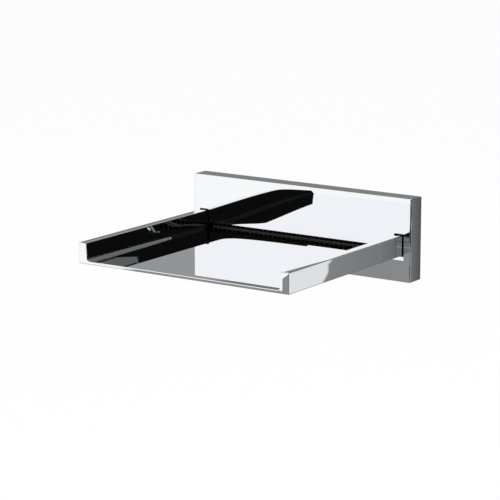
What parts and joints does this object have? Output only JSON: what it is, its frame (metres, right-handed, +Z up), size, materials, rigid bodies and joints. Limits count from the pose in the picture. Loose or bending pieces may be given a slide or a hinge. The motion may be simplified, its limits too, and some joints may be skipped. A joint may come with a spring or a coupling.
{
  "type": "wall-mounted bath spout",
  "caption": "Chromed wall-mounted bath spout: flat cover plate, wide open waterfall tray fed by a slot, hidden water chamber, wall bracket and plug-in half-inch nipple.",
  "frame": {"origin": "middle of the back of the cover plate, in the plane of the finished wall, on the supply's axis", "axes": "+X to the right as seen from the room, +Y into the wall, +Z up; the tray points along -Y"},
  "size_m": [0.18, 0.1844, 0.058],
  "materials": {
    "chrome": "mirror-polished chrome plating on brass",
    "brass": "turned and cast brass, unplated",
    "steel": "stainless steel, as rolled or turned",
    "rubber": "black EPDM, matt",
    "plastic": "black moulded plastic"
  },
  "bodies": {
    "wall_fixing": {"wall_bracket": "steel", "inlet_nipple": "brass", "nipple_o_ring_front": "rubber", "nipple_o_ring_rear": "rubber", "nipple_seal": "rubber", "inlet_strainer": "steel", "strainer_ring": "rubber"},
    "spout": {"wall_plate": "chrome", "wall_gasket": "rubber", "spout_tray": "chrome", "tray_gasket": "rubber", "water_chamber": "brass", "supply_socket": "brass", "chamber_screws": "steel", "chamber_screw_washers": "steel", "distributor_plate": "steel"},
    "straightener": {"flow_straightener": "plastic"},
    "grub_screw_left": {"grub_screw_left": "steel"},
    "grub_screw_right": {"grub_screw_right": "steel"}
  },
  "joints": [
    {"name": "spout_pull_off", "type": "slide", "parent": "wall_fixing", "child": "spout", "axis": [0, -1, 0], "range_m": [0, 0.04]},
    {"name": "straightener_pull_out", "type": "slide", "parent": "spout", "child": "straightener", "axis": [0, -1, 0], "range_m": [0, 0.02]},
    {"name": "grub_screw_left_turn", "type": "hinge", "parent": "spout", "child": "grub_screw_left", "pos_m": [-0.06, -0.005, -0.0255], "axis": [0, 0, -1], "range_deg": [0, 1080]},
    {"name": "grub_screw_right_turn", "type": "hinge", "parent": "spout", "child": "grub_screw_right", "pos_m": [0.06, -0.005, -0.0255], "axis": [0, 0, -1], "range_deg": [0, 1080]}
  ]
}
